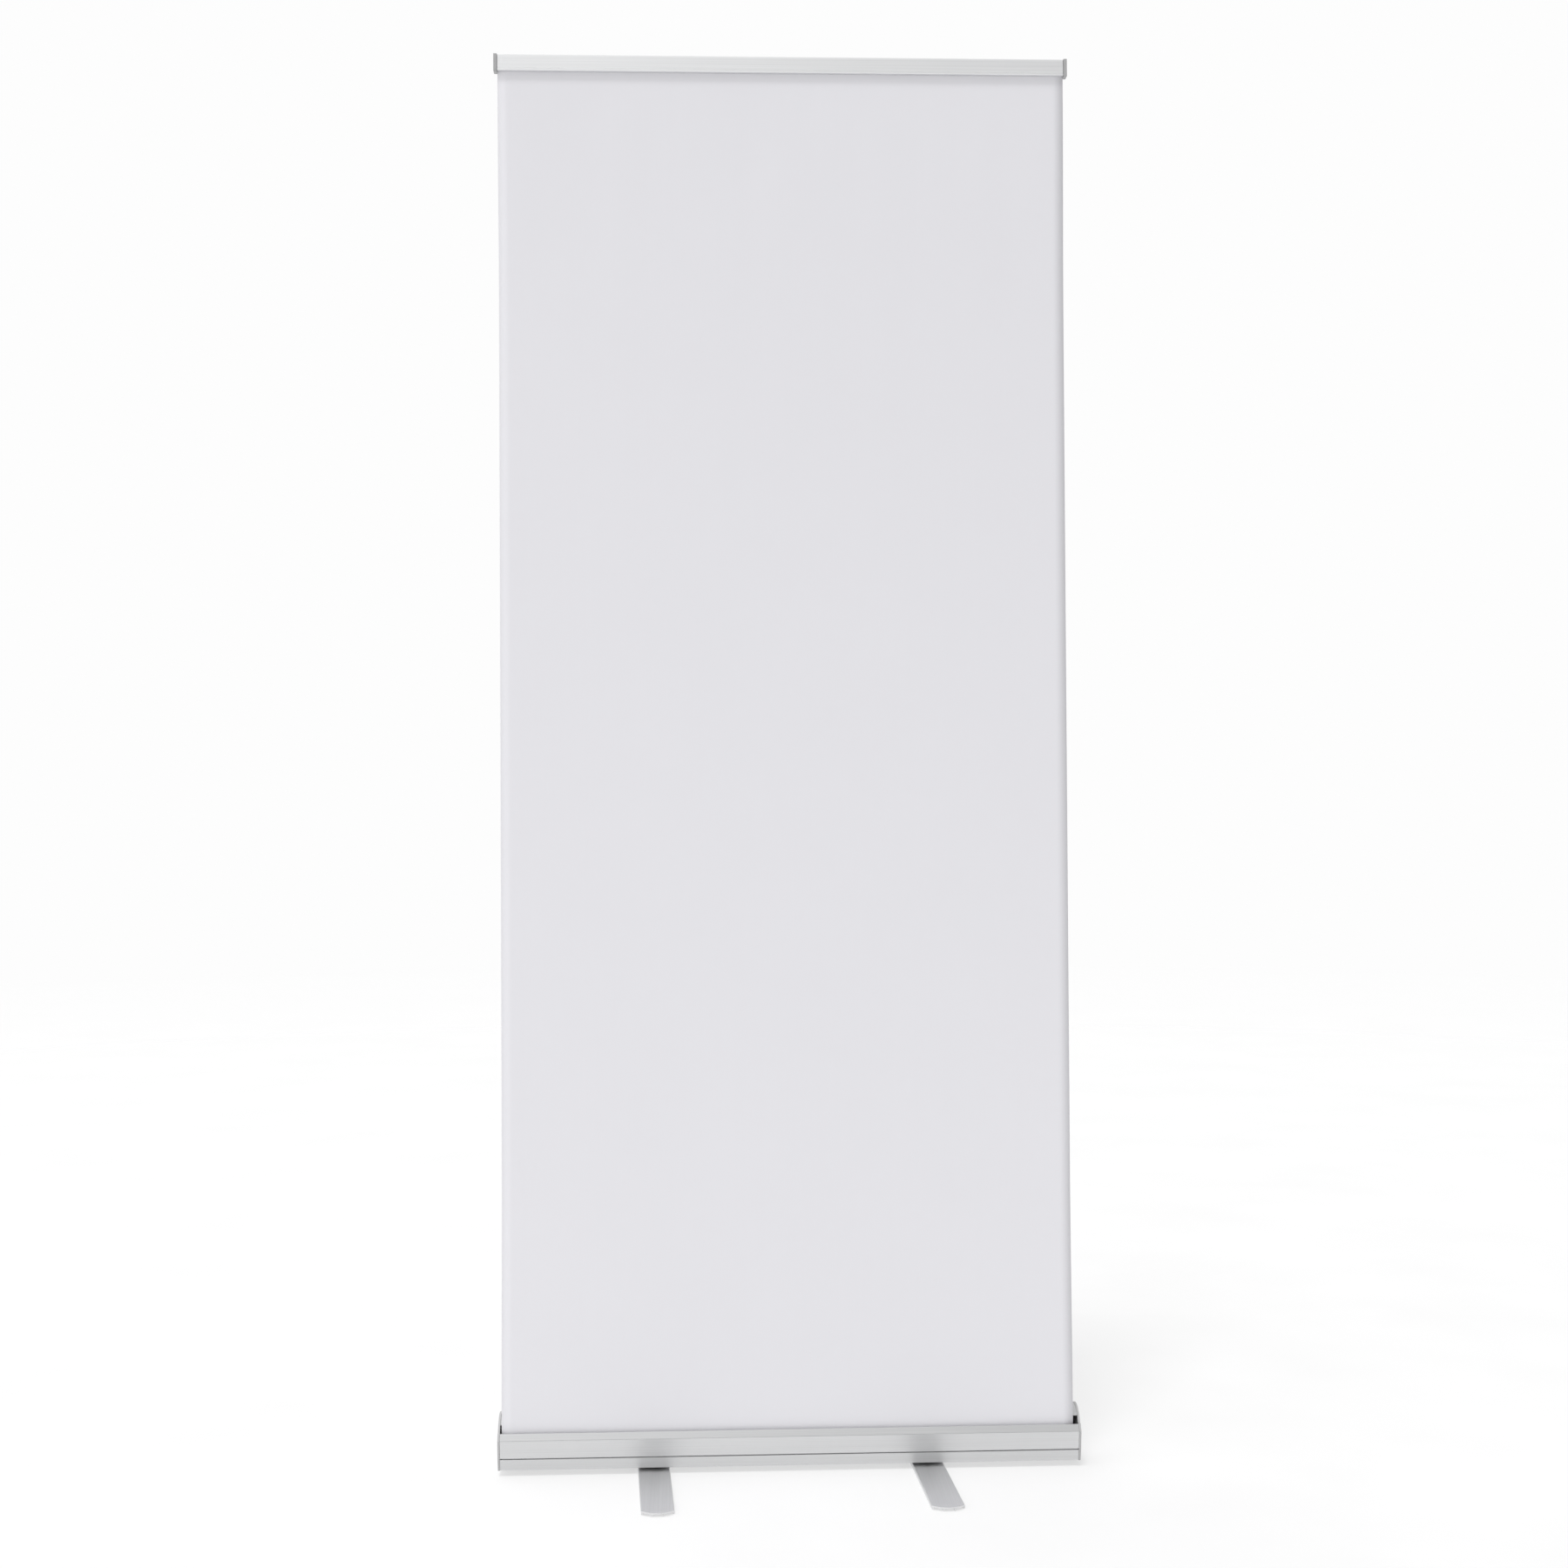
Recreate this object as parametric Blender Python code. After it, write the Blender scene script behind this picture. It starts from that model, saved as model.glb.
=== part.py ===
"""Roll-up banner stand: aluminium cassette, sprung roller, clamp rail, sectional pole and swivel feet.

Metres, +Z up, +X to the viewer's right, the banner faces -Y. The floor is z = 0.
"""
import math

import bmesh
import bpy
from mathutils import Matrix, Vector

# ---------------------------------------------------------------- overall sizes
CASSETTE_LENGTH = 0.8655
CASSETTE_DEPTH = 0.084
BANNER_WIDTH = 0.850
RAIL_TOP = 2.1108
FLOOR_GAP = 0.009

GAP = 0.0003

# ---------------------------------------------------------------- cassette
CASSETTE_Y = 0.018
SHELL_WALL = 0.0018
COVER_WALL = 0.0016
DOME_TOP = 0.0840
SLOT_EDGE_Z = 0.0740
SLOT_WIDTH = 0.0090
LIP_TOP = 0.0636
LIP_SETBACK = 0.0042
LIP_DEPTH = 0.0043
SEAM_LOW = 0.0257
SEAM_HIGH = 0.0279
SEAM_SETBACK = 0.0034
CREASE_Z = 0.0543
CHIN_Z = 0.0140
CHIN_SETBACK = 0.0072
FRONT_CORNER = 0.0014
REAR_CORNER = 0.006
TONGUE_DROP = 0.0042
TONGUE_WALL = 0.0015
END_CAP = 0.0030
END_CAP_RIM = 0.0008

# ---------------------------------------------------------------- screw ports and screws
PORT_BLOCK = 0.0072
PORT_HOLE = 0.0019
COVER_PORT_Z = 0.0480
SCREW_SHANK = 0.0016
SCREW_HEAD = 0.0034
SCREW_HEAD_HEIGHT = 0.0010
HEAD_RECESS = 0.0014
SCREW_LENGTH = 0.014

# ---------------------------------------------------------------- roller
ROLLER_Z = 0.040
ROLLER_TUBE = 0.0160
ROLLER_WALL = 0.0015
LEADER_THICKNESS = 0.00105
AXLE_RADIUS = 0.0040
HUB_RADIUS = 0.0080
HUB_HEIGHT = 0.0018
PLUG_LENGTH = 0.012
SPRING_RADIUS = 0.0090
SPRING_WIRE = 0.0008
SPRING_TURNS = 14
SPRING_LENGTH = 0.200
COLLAR_LENGTH = 0.010

# ---------------------------------------------------------------- banner
BANNER_THICKNESS = 0.0005
BANNER_OFFSET = -0.0025
BANNER_FRONT_GAP = 0.0036

# ---------------------------------------------------------------- clamp rail, heights above its lower edge
RAIL_HEIGHT = 0.0250
RAIL_FRONT = 0.0066
RAIL_BACK = 0.0085
JAW_WALL = 0.0018
JAW_LOW = 0.0006
JAW_EDGE = 0.0022
BAND_HEIGHT = 0.0030
BAND_GROOVE = 0.0012
BAND_DEPTH = 0.0005
KNUCKLE_OUTER = 0.0042
KNUCKLE_WALL = 0.0018
KNUCKLE_PLAY = 0.0004
PLATE_WALL = 0.0019
GROOVE_LOW = 0.0030
GROOVE_HIGH = 0.0160
GROOVE_WALL = 0.0014
MOUTH_LOW = 0.0056
MOUTH_HIGH = 0.0126
RAIL_CAP = 0.0050
RAIL_CAP_RIM = 0.0008
TONGUE_LENGTH = 0.012
BANNER_IN_RAIL = 0.0155

# ---------------------------------------------------------------- pole
POLE_FROM_BACK = 0.0120
POLE_TO_BANNER = 0.024152
POLE_RADIUS = 0.0065
POLE_WALL = 0.0010
FERRULE_LENGTH = 0.090
FERRULE_WALL = 0.0012
SOCKET_WALL = 0.0019
SOCKET_FLOOR = 0.0020
SOCKET_TOP = 0.0815
SOCKET_CHAMFER = 0.0025
CORD_RADIUS = 0.0015
HEAD_HEIGHT = 0.018
HEAD_RADIUS = 0.0072
STEM_LENGTH = 0.025
FINGER_WIDTH = 0.012
FINGER_HEIGHT = 0.0052
NIB_HEIGHT = 0.0016
NIB_DEPTH = 0.0022

# ---------------------------------------------------------------- feet
FOOT_X = 0.204
FOOT_Y = -0.006
FOOT_FRONT = 0.2165
FOOT_REAR = 0.1925
FOOT_WIDTH = 0.047
FOOT_HEIGHT = 0.0055
FOOT_PLATE = 0.0020
FOOT_END_RADIUS = 0.030
FOOT_SIDE = 0.0020
FOOT_RIB = 0.0018
FOOT_RIB_X = 0.0081
FOOT_TURN = math.radians(2.6)
BOLT_RADIUS = 0.0030
BOLT_HEAD = 0.0058
BOLT_HEAD_HEIGHT = 0.0022
NUT_RADIUS = 0.0055
NUT_HEIGHT = 0.0030
WASHER_RADIUS = 0.0140

# ---------------------------------------------------------------- values that follow from the sizes above
HALF_DEPTH = CASSETTE_DEPTH / 2
POLE_Y = HALF_DEPTH - POLE_FROM_BACK
EXTRUSION_HALF = CASSETTE_LENGTH / 2 - END_CAP - GAP
SHELL_FLOOR = FLOOR_GAP + SHELL_WALL
LIP_FRONT = -HALF_DEPTH + LIP_SETBACK
LIP_BACK = LIP_FRONT + LIP_DEPTH
SLOT_EDGE_Y = LIP_BACK + SLOT_WIDTH
BANNER_Y = LIP_BACK + BANNER_FRONT_GAP + BANNER_THICKNESS / 2
LEAN = math.atan2(POLE_Y - POLE_TO_BANNER - BANNER_Y, RAIL_TOP - LIP_TOP)
UP = Vector((0.0, math.sin(LEAN), math.cos(LEAN)))
ROLL_RADIUS = ROLLER_TUBE + GAP + LEADER_THICKNESS
TANGENT_RADIUS = ROLL_RADIUS + GAP + BANNER_THICKNESS / 2
RAIL_LOW = RAIL_TOP - RAIL_HEIGHT * math.cos(LEAN)
AXLE_CLEAR = AXLE_RADIUS + GAP
PLUG_OUTER = ROLLER_TUBE - ROLLER_WALL - GAP
TUBE_HALF = EXTRUSION_HALF - 0.0010
POLE_BORE = POLE_RADIUS - POLE_WALL
STEM_RADIUS = POLE_BORE - GAP
SOCKET_BORE = POLE_RADIUS + GAP
SOCKET_OUTER = SOCKET_BORE + SOCKET_WALL
SHANK_CLEAR = BOLT_RADIUS + GAP
JAW_CLEAR = BANNER_THICKNESS / 2 + GAP
KNUCKLE_Z = RAIL_HEIGHT - KNUCKLE_OUTER
KNUCKLE_INNER = KNUCKLE_OUTER - KNUCKLE_WALL
BEAD_RADIUS = KNUCKLE_INNER - KNUCKLE_PLAY


def banner_y(z):
    """Distance of the banner's middle from the cassette's middle plane at a height."""
    return BANNER_Y + math.tan(LEAN) * (z - LIP_TOP)


ROLLER_Y = banner_y(ROLLER_Z) + TANGENT_RADIUS / math.cos(LEAN)
RAIL_Y = banner_y(RAIL_LOW)


# ---------------------------------------------------------------- scene helpers
def clear_scene():
    """Start from nothing."""
    for item in list(bpy.data.objects):
        bpy.data.objects.remove(item, do_unlink=True)


def new_collection(name):
    """Make a collection in the scene."""
    collection = bpy.data.collections.new(name)
    bpy.context.scene.collection.children.link(collection)
    return collection


def make_material(name, colour, metallic, roughness):
    """Make a Principled material."""
    material = bpy.data.materials.new(name)
    material.use_nodes = True
    shader = material.node_tree.nodes["Principled BSDF"]
    shader.inputs["Base Color"].default_value = (*colour, 1.0)
    shader.inputs["Metallic"].default_value = metallic
    shader.inputs["Roughness"].default_value = roughness
    material.diffuse_color = (*colour, 1.0)
    return material


FINISHES = {
    "aluminium": ((0.72, 0.72, 0.73), 1.0, 0.42),
    "steel": ((0.52, 0.52, 0.54), 1.0, 0.30),
    "grey_plastic": ((0.36, 0.36, 0.37), 0.0, 0.50),
    "black_plastic": ((0.03, 0.03, 0.03), 0.0, 0.55),
    "white_film": ((0.80, 0.80, 0.82), 0.0, 0.60),
    "black_cord": ((0.02, 0.02, 0.02), 0.0, 0.85),
}


def place(name, mesh, finish, location, parent=None, tilt=0.0, turn=0.0):
    """Put a mesh in the scene as a named sub-part with a material of its own."""
    colour, metallic, roughness = FINISHES[finish]
    mesh.materials.clear()
    mesh.materials.append(make_material(name + "_" + finish, colour, metallic, roughness))
    item = bpy.data.objects.new(name, mesh)
    item.location = location
    item.rotation_euler = (tilt, 0.0, turn)
    item.parent = parent
    STAND.objects.link(item)
    return item


def pivot(name, location, tilt=0.0):
    """Make an empty on a joint's line, to carry the pieces that move with it."""
    item = bpy.data.objects.new(name, None)
    item.empty_display_size = 0.03
    item.location = location
    item.rotation_euler = (tilt, 0.0, 0.0)
    STAND.objects.link(item)
    return item


def cutter(name, mesh, location, parent=None, turn=0.0):
    """Put a mesh among the cutters."""
    item = bpy.data.objects.new(name, mesh)
    item.location = location
    item.rotation_euler = (0.0, 0.0, turn)
    item.parent = parent
    item.hide_render = True
    item.display_type = "WIRE"
    CUTTERS.objects.link(item)
    return item


def combine(item, other, operation):
    """Cut, join or trim a sub-part with a cutter."""
    modifier = item.modifiers.new(other.name, "BOOLEAN")
    modifier.operation = operation
    modifier.solver = "EXACT"
    modifier.object = other


# ---------------------------------------------------------------- shape helpers
def finish_mesh(name, bm):
    """Close up a bmesh, turn its faces outwards and shade it."""
    bmesh.ops.remove_doubles(bm, verts=bm.verts, dist=1e-6)
    bmesh.ops.recalc_face_normals(bm, faces=bm.faces)
    mesh = bpy.data.meshes.new(name)
    bm.to_mesh(mesh)
    bm.free()
    mesh.polygons.foreach_set("use_smooth", [True] * len(mesh.polygons))
    mesh.set_sharp_from_angle(angle=math.radians(35))
    return mesh


def section(name, outline, low, high, along="X", holes=()):
    """Extrude a closed outline, with any holes, from low to high along X, Y or Z.

    The outline is in (Y, Z) for X, in (X, Z) for Y and in (X, Y) for Z.
    """
    curve = bpy.data.curves.new(name + "_section", "CURVE")
    curve.dimensions = "2D"
    curve.fill_mode = "BOTH"
    curve.extrude = (high - low) / 2
    for loop in (outline, *holes):
        spline = curve.splines.new("POLY")
        spline.points.add(len(loop) - 1)
        for point, (across, up) in zip(spline.points, loop):
            point.co = (across, up, 0.0, 1.0)
        spline.use_cyclic_u = True
    carrier = bpy.data.objects.new(name + "_section", curve)
    bm = bmesh.new()
    mesh = bpy.data.meshes.new_from_object(carrier)
    bm.from_mesh(mesh)
    bpy.data.objects.remove(carrier)
    bpy.data.meshes.remove(mesh)
    turn = {
        "X": Matrix(((0, 0, 1), (1, 0, 0), (0, 1, 0))),
        "Y": Matrix(((1, 0, 0), (0, 0, -1), (0, 1, 0))),
        "Z": Matrix.Identity(3),
    }[along]
    middle = {"X": (1, 0, 0), "Y": (0, 1, 0), "Z": (0, 0, 1)}[along]
    shift = Matrix.Translation(Vector(middle) * (low + high) / 2)
    bmesh.ops.transform(bm, matrix=shift @ turn.to_4x4(), verts=bm.verts)
    return finish_mesh(name, bm)


def lathe(name, outline, along="Z", steps=32):
    """Spin an outline of (radius, distance) points round an axis through the origin.

    An outline that starts and ends on the axis gives a solid, any other is closed into a ring.
    """
    bm = bmesh.new()
    verts = [bm.verts.new((radius, 0.0, distance)) for radius, distance in outline]
    edges = [bm.edges.new(pair) for pair in zip(verts, verts[1:])]
    if outline[0][0] > 0.0:
        edges.append(bm.edges.new((verts[-1], verts[0])))
    bmesh.ops.spin(
        bm, geom=verts + edges, cent=(0, 0, 0), axis=(0, 0, 1), angle=math.tau,
        steps=steps, use_merge=True,
    )
    if along == "X":
        bmesh.ops.rotate(bm, verts=bm.verts, cent=(0, 0, 0), matrix=Matrix.Rotation(math.pi / 2, 3, "Y"))
    return finish_mesh(name, bm)


def tube_outline(outer, inner, low, high):
    """Outline of a plain tube for the lathe."""
    return [(inner, low), (outer, low), (outer, high), (inner, high)]


def rod_outline(radius, low, high, edge=0.0003):
    """Outline of a plain rod with broken edges for the lathe."""
    return [
        (0.0, low),
        (radius - edge, low),
        (radius, low + edge),
        (radius, high - edge),
        (radius - edge, high),
        (0.0, high),
    ]


def arc(centre, radius, start, stop, steps):
    """Points along an arc, angles in degrees from the first axis towards the second."""
    points = []
    for index in range(steps + 1):
        angle = math.radians(start + (stop - start) * index / steps)
        points.append((centre[0] + radius * math.cos(angle), centre[1] + radius * math.sin(angle)))
    return points


def circle(centre, radius, steps=20):
    """Points round a circle, without repeating the first."""
    return arc(centre, radius, 0, 360, steps)[:-1]


def softened(outline, radius, steps=2):
    """Round every corner of a closed outline by up to a radius."""
    points = []
    count = len(outline)
    for index in range(count):
        here = Vector(outline[index])
        back = Vector(outline[index - 1]) - here
        ahead = Vector(outline[(index + 1) % count]) - here
        straight = math.pi - back.angle(ahead)
        if straight < math.radians(25):
            points.append(tuple(here))
            continue
        reach = min(radius * math.tan(straight / 2), back.length * 0.45, ahead.length * 0.45)
        first = here + back.normalized() * reach
        last = here + ahead.normalized() * reach
        for step in range(steps + 1):
            share = step / steps
            point = first.lerp(here, share).lerp(here.lerp(last, share), share)
            points.append(tuple(point))
    return points


# ---------------------------------------------------------------- cassette outlines
def dome_circle():
    """Centre and radius of the dome: touches the rear plane, reaches the top, ends at the slot edge."""
    across = HALF_DEPTH - SLOT_EDGE_Y
    drop = DOME_TOP - SLOT_EDGE_Z
    radius = across + drop - math.sqrt(2 * across * drop)
    return (HALF_DEPTH - radius, DOME_TOP - radius), radius


def front_face(z):
    """The front face at a height: furthest out at the crease, tucked under towards the floor."""
    if z >= SEAM_HIGH:
        share = (CREASE_Z - z) / (CREASE_Z - SEAM_HIGH)
        return -HALF_DEPTH + SEAM_SETBACK * share
    share = (SEAM_HIGH - z) / (SEAM_HIGH - CHIN_Z)
    return -HALF_DEPTH + SEAM_SETBACK + (CHIN_SETBACK - SEAM_SETBACK) * share


def rounded_corner(before, here, after, radius, steps):
    """Points that round one corner of a path."""
    here = Vector(here)
    back = (Vector(before) - here).normalized()
    ahead = (Vector(after) - here).normalized()
    reach = radius / math.tan(back.angle(ahead) / 2)
    first = here + back * reach
    last = here + ahead * reach
    points = []
    for step in range(steps + 1):
        share = step / steps
        points.append(tuple(first.lerp(here, share).lerp(here.lerp(last, share), share)))
    return points


def outer_path(rim=0.0):
    """The cassette's outside from the seam down, under, up the rear and over to the slot edge."""
    centre, radius = dome_circle()
    edge = math.degrees(math.atan2(SLOT_EDGE_Z - centre[1], SLOT_EDGE_Y - centre[0]))
    rear = HALF_DEPTH + rim
    low = FLOOR_GAP - rim * 0.5
    seam = (front_face(SEAM_LOW) - rim, SEAM_LOW)
    chin = (front_face(low) - rim, low)
    path = [seam]
    path += rounded_corner(seam, chin, (0.0, low), FRONT_CORNER, 6)
    path += arc((rear - REAR_CORNER, low + REAR_CORNER), REAR_CORNER, 270, 360, 8)
    path += arc(centre, radius + rim, 0, edge, 26)
    return path


def shell_outline():
    """Wall of the shell, with a screw port in the front corner and one under the dome."""
    centre, radius = dome_circle()
    inner = radius - SHELL_WALL
    edge = math.degrees(math.atan2(SLOT_EDGE_Z - centre[1], SLOT_EDGE_Y - centre[0]))
    rear = HALF_DEPTH - SHELL_WALL
    corner = REAR_CORNER - SHELL_WALL
    half = math.degrees(PORT_BLOCK / 2 / inner)
    path = outer_path()
    nose = arc(
        (centre[0] + (radius - SHELL_WALL / 2) * math.cos(math.radians(edge)),
         centre[1] + (radius - SHELL_WALL / 2) * math.sin(math.radians(edge))),
        SHELL_WALL / 2, edge, edge + 180, 4,
    )
    path += nose[1:-1]
    path += arc(centre, inner, edge, 90 + half, 12)
    path += arc(centre, inner - PORT_BLOCK + SHELL_WALL * 0.6, 90 + half * 0.9, 90 - half * 0.9, 2)
    path += arc(centre, inner, 90 - half, 0, 14)
    path += arc((rear - corner, SHELL_FLOOR + corner), corner, 360, 270, 8)
    port_back = port_centres()[0][0] + PORT_BLOCK / 2
    port_top = SHELL_FLOOR + PORT_BLOCK
    path += [
        (port_back, SHELL_FLOOR),
        (port_back, port_top),
        (front_face(port_top) + SHELL_WALL, port_top),
        (front_face(SEAM_LOW) + SHELL_WALL, SEAM_LOW),
    ]
    return path


def port_centres():
    """Middles of the screw ports: shell front corner, cover, under the dome."""
    centre, radius = dome_circle()
    corner_z = SHELL_FLOOR + PORT_BLOCK / 2
    return [
        (front_face(corner_z) + SHELL_WALL + PORT_BLOCK / 2, corner_z),
        (front_face(COVER_PORT_Z) + COVER_WALL + PORT_BLOCK * 0.45, COVER_PORT_Z),
        (centre[0], centre[1] + radius - SHELL_WALL - PORT_BLOCK * 0.42),
    ]


def cover_outline():
    """Wall of the front cover: tongue behind the shell, flat face, crease, leaning top and hooked lip."""
    front = -HALF_DEPTH
    port_low = COVER_PORT_Z - PORT_BLOCK / 2
    port_high = COVER_PORT_Z + PORT_BLOCK / 2
    port_in = front_face(COVER_PORT_Z) + COVER_WALL + PORT_BLOCK * 0.88
    tongue_low = SEAM_LOW - TONGUE_DROP
    tongue = front_face(tongue_low) + SHELL_WALL + GAP
    tongue_root = SEAM_HIGH + 0.0045
    roll = 0.0016
    hook = 0.0060
    hook_in = LIP_BACK - COVER_WALL * 0.8
    top_front = arc((LIP_FRONT + roll, LIP_TOP - roll), roll, 160, 90, 4)
    top_back = arc((LIP_BACK - roll, LIP_TOP - roll), roll, 90, 0, 4)
    return [
        (front_face(SEAM_HIGH), SEAM_HIGH),
        (front, CREASE_Z - 0.0003),
        (front + 0.0005, CREASE_Z),
        (front + 0.0003, CREASE_Z + 0.0004),
        *top_front,
        *top_back,
        (LIP_BACK, LIP_TOP - hook),
        (hook_in, LIP_TOP - hook),
        (hook_in, LIP_TOP - COVER_WALL),
        (LIP_FRONT + COVER_WALL, LIP_TOP - COVER_WALL),
        (front + COVER_WALL * 1.1, CREASE_Z),
        (front_face(port_high) + COVER_WALL, port_high),
        (port_in, port_high - 0.0006),
        (port_in, port_low + 0.0006),
        (front_face(port_low) + COVER_WALL, port_low),
        (front_face(tongue_root) + COVER_WALL, tongue_root),
        (tongue + TONGUE_WALL, SEAM_HIGH + TONGUE_WALL),
        (tongue + TONGUE_WALL, tongue_low),
        (tongue, tongue_low),
        (tongue, SEAM_HIGH),
    ]


def cap_outline():
    """Outside of an end cap: the cassette's outline with a small rim, closed across the slot."""
    rim = END_CAP_RIM
    front = -HALF_DEPTH - rim
    path = outer_path(rim)[1:]
    path += [
        (SLOT_EDGE_Y - 0.0015, SLOT_EDGE_Z - 0.0006),
        (LIP_BACK, LIP_TOP + rim),
        (LIP_FRONT + 0.0008, LIP_TOP + rim),
        (LIP_FRONT - rim * 0.7, LIP_TOP - 0.0008),
        (front, CREASE_Z),
        (front_face(SEAM_HIGH) - rim, SEAM_HIGH),
    ]
    return path


# ---------------------------------------------------------------- cassette
def build_cassette():
    """Shell, front cover, end caps with their screws."""
    home = (0.0, CASSETTE_Y, 0.0)
    corner_port, cover_port, dome_port = port_centres()
    ports = [circle(corner_port, PORT_HOLE), circle(dome_port, PORT_HOLE)]
    shell_mesh = section("cassette_shell", shell_outline(), -EXTRUSION_HALF, EXTRUSION_HALF, holes=ports)
    shell = place("cassette_shell", shell_mesh, "aluminium", home)
    dome_foot = dome_circle()[0][1]
    pole_drill = lathe("pole_drill", rod_outline(SOCKET_OUTER + GAP, dome_foot, DOME_TOP + 0.02))
    combine(shell, cutter("pole_drill", pole_drill, (0.0, CASSETTE_Y + POLE_Y, 0.0)), "DIFFERENCE")
    for side, name in ((-1, "left"), (1, "right")):
        drill = lathe("bolt_drill_" + name, rod_outline(SHANK_CLEAR, 0.0, SHELL_FLOOR + 0.004), steps=24)
        spot = (side * FOOT_X, CASSETTE_Y + FOOT_Y, 0.0)
        combine(shell, cutter("bolt_drill_" + name, drill, spot), "DIFFERENCE")
    cover_mesh = section(
        "front_cover", cover_outline(), -EXTRUSION_HALF, EXTRUSION_HALF,
        holes=[circle(cover_port, PORT_HOLE)],
    )
    place("front_cover", cover_mesh, "aluminium", home)
    for side, name in ((-1, "left"), (1, "right")):
        build_end_cap(side, name)


def build_end_cap(side, name):
    """One end cap: plate with screw holes, hub with a blind bore for the axle, and its screws."""
    outer = side * CASSETTE_LENGTH / 2
    inner = outer - side * END_CAP
    holes = [circle(port, SCREW_SHANK + GAP) for port in port_centres()]
    plate = section("end_cap_" + name, cap_outline(), min(outer, inner), max(outer, inner), holes=holes)
    cap = place("end_cap_" + name, plate, "grey_plastic", (0.0, CASSETTE_Y, 0.0))
    spot = (inner, CASSETTE_Y + ROLLER_Y, ROLLER_Z)
    reach = sorted((side * 0.001, -side * HUB_HEIGHT))
    hub = lathe("hub_" + name, rod_outline(HUB_RADIUS, *reach, edge=0.0004), along="X")
    combine(cap, cutter("hub_" + name, hub, spot), "UNION")
    reach = sorted((side * END_CAP * 0.6, -side * HUB_HEIGHT * 2))
    bore = lathe("hub_bore_" + name, rod_outline(AXLE_CLEAR, *reach), along="X")
    combine(cap, cutter("hub_bore_" + name, bore, spot), "DIFFERENCE")
    recess = sorted((-side * HEAD_RECESS, side * 0.002))
    seat = GAP - HEAD_RECESS
    for number, (across, up) in enumerate(port_centres(), start=1):
        centre = (outer, CASSETTE_Y + across, up)
        sink = lathe("head_sink", rod_outline(SCREW_HEAD + GAP, *recess), along="X", steps=24)
        combine(cap, cutter("head_sink", sink, centre), "DIFFERENCE")
        outline = [
            (0.0, -SCREW_LENGTH),
            (SCREW_SHANK * 0.5, -SCREW_LENGTH),
            (SCREW_SHANK, -SCREW_LENGTH + 0.002),
            (SCREW_SHANK, seat),
            (SCREW_HEAD, seat),
            (SCREW_HEAD, seat + SCREW_HEAD_HEIGHT * 0.6),
            (SCREW_HEAD * 0.75, seat + SCREW_HEAD_HEIGHT),
            (0.0, seat + SCREW_HEAD_HEIGHT),
        ]
        outline = [(radius, side * distance) for radius, distance in outline]
        screw = lathe("cap_screw", outline, along="X", steps=16)
        place(f"cap_screw_{name}_{number}", screw, "steel", centre)


# ---------------------------------------------------------------- roller
def helix(name, radius, wire, turns, low, high):
    """A coil spring along X, flat-ended, swept from a round wire."""
    curve = bpy.data.curves.new(name + "_wire", "CURVE")
    curve.dimensions = "3D"
    curve.bevel_depth = wire
    curve.bevel_resolution = 1
    curve.use_fill_caps = True
    per_turn = 16
    count = turns * per_turn
    spline = curve.splines.new("POLY")
    spline.points.add(count)
    for index, point in enumerate(spline.points):
        angle = math.tau * index / per_turn
        along = low + (high - low) * index / count
        point.co = (along, radius * math.cos(angle), radius * math.sin(angle), 1.0)
    carrier = bpy.data.objects.new(name + "_wire", curve)
    bm = bmesh.new()
    mesh = bpy.data.meshes.new_from_object(carrier)
    bm.from_mesh(mesh)
    bpy.data.objects.remove(carrier)
    bpy.data.meshes.remove(mesh)
    return finish_mesh(name, bm)


def build_roller():
    """The turning roller, and the fixed axle, spring and idle pin inside it."""
    axis = (0.0, CASSETTE_Y + ROLLER_Y, ROLLER_Z)
    carrier = pivot("roller_axis", axis)
    centre = (0.0, 0.0, 0.0)
    inner = ROLLER_TUBE - ROLLER_WALL
    tube = lathe("roller_tube", tube_outline(ROLLER_TUBE, inner, -TUBE_HALF, TUBE_HALF), along="X", steps=40)
    place("roller_tube", tube, "aluminium", centre, carrier)
    leader = tube_outline(ROLL_RADIUS, ROLLER_TUBE + GAP, -BANNER_WIDTH / 2, BANNER_WIDTH / 2)
    roll = lathe("banner_roll", leader, along="X", steps=48)
    place("banner_roll", roll, "white_film", (BANNER_OFFSET, 0.0, 0.0), carrier)
    for side, name in ((-1, "left"), (1, "right")):
        reach = sorted((side * -PLUG_LENGTH, 0.0))
        plug = lathe("roller_plug_" + name, tube_outline(PLUG_OUTER, AXLE_CLEAR, *reach), along="X")
        spot = (side * (TUBE_HALF - 0.0015), 0.0, 0.0)
        place("roller_plug_" + name, plug, "black_plastic", spot, carrier)
    end = CASSETTE_LENGTH / 2 - END_CAP * 0.4 - GAP
    spring_start = -(TUBE_HALF - 0.0015 - PLUG_LENGTH) + 0.004
    spring_stop = spring_start + SPRING_LENGTH
    collar_low = spring_stop + SPRING_WIRE + GAP * 2
    axle = lathe("spring_axle", rod_outline(AXLE_RADIUS, -end, collar_low + COLLAR_LENGTH + 0.006), along="X")
    place("spring_axle", axle, "steel", axis)
    collar = tube_outline(SPRING_RADIUS + SPRING_WIRE, AXLE_CLEAR, collar_low, collar_low + COLLAR_LENGTH)
    place("spring_collar", lathe("spring_collar", collar, along="X"), "black_plastic", axis)
    spring = helix("torsion_spring", SPRING_RADIUS, SPRING_WIRE, SPRING_TURNS, spring_start, spring_stop)
    place("torsion_spring", spring, "steel", axis)
    pin = lathe("idle_pin", rod_outline(AXLE_RADIUS, end - 0.030, end), along="X")
    place("idle_pin", pin, "steel", axis)


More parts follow.
